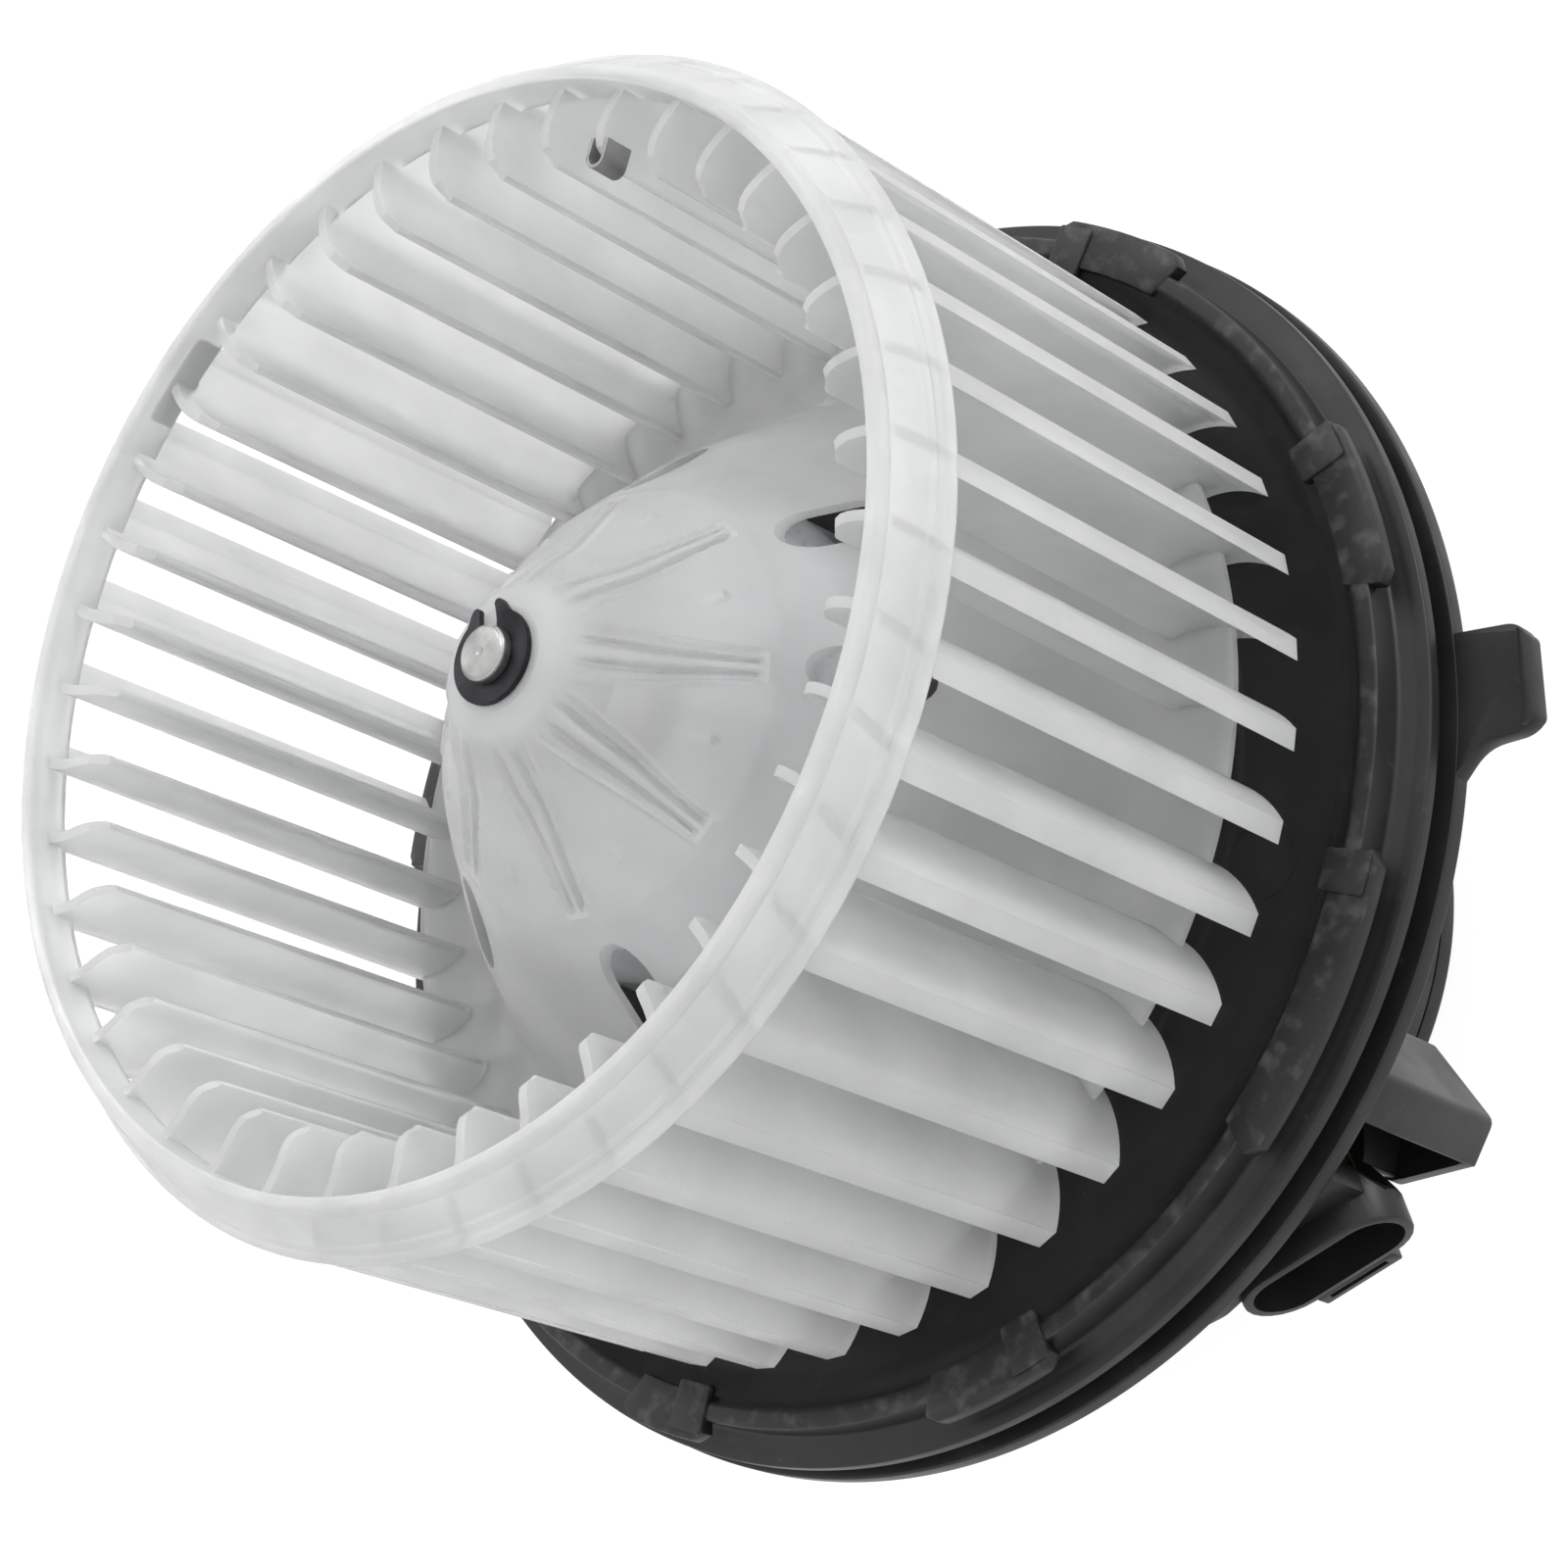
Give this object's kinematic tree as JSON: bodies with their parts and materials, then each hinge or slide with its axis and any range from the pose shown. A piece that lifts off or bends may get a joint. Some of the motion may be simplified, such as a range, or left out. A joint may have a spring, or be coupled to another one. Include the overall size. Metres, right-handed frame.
{
  "type": "blower motor wheel",
  "caption": "Squirrel-cage blower wheel clipped to the shaft of a brushed motor in a round moulded base with bayonet lugs, tab and plug socket.",
  "frame": {"origin": "centre of the flat rear cover, on the shaft axis", "axes": "+Z along the shaft axis, towards the wheel's air inlet; +X is 13 degrees clockwise of the handling tab, seen from the inlet"},
  "size_m": [0.1741, 0.165, 0.15],
  "materials": {
    "white_plastic": "satin, slightly milky",
    "black_plastic": "satin moulded",
    "amber_card": "matt laminate",
    "steel": "bright",
    "dark_steel": "blackened",
    "copper": "bright copper",
    "brass": "satin",
    "rubber": "matt",
    "ferrite": "matt, ceramic or carbon"
  },
  "bodies": {
    "base": {"motor_flange": "black_plastic", "rear_cover": "black_plastic", "cover_screw_1": "dark_steel", "cover_screw_2": "dark_steel", "cover_screw_3": "dark_steel", "isolator_front": "rubber", "isolator_rear": "rubber", "motor_can": "steel", "motor_end_plate": "steel", "front_bearing": "brass", "rear_bearing": "brass", "magnet_1": "ferrite", "magnet_2": "ferrite", "brush_card": "amber_card", "brush_holder_1": "brass", "brush_holder_2": "brass", "brush_1": "ferrite", "brush_2": "ferrite", "brush_spring_1": "steel", "brush_spring_2": "steel", "choke_1": "copper", "choke_2": "copper", "terminal_1": "brass", "terminal_2": "brass"},
    "rotor": {"impeller": "white_plastic", "shaft": "steel", "e_clip": "dark_steel", "balance_clip_1": "steel", "balance_clip_2": "steel", "thrust_washer": "black_plastic", "armature_core": "dark_steel", "armature_winding_front": "copper", "armature_winding_rear": "copper", "commutator": "copper"}
  },
  "joints": [
    {"name": "impeller_spin", "type": "hinge", "parent": "base", "child": "rotor", "pos_m": [0, 0, 0.1], "axis": [0, 0, 1], "continuous": true}
  ]
}
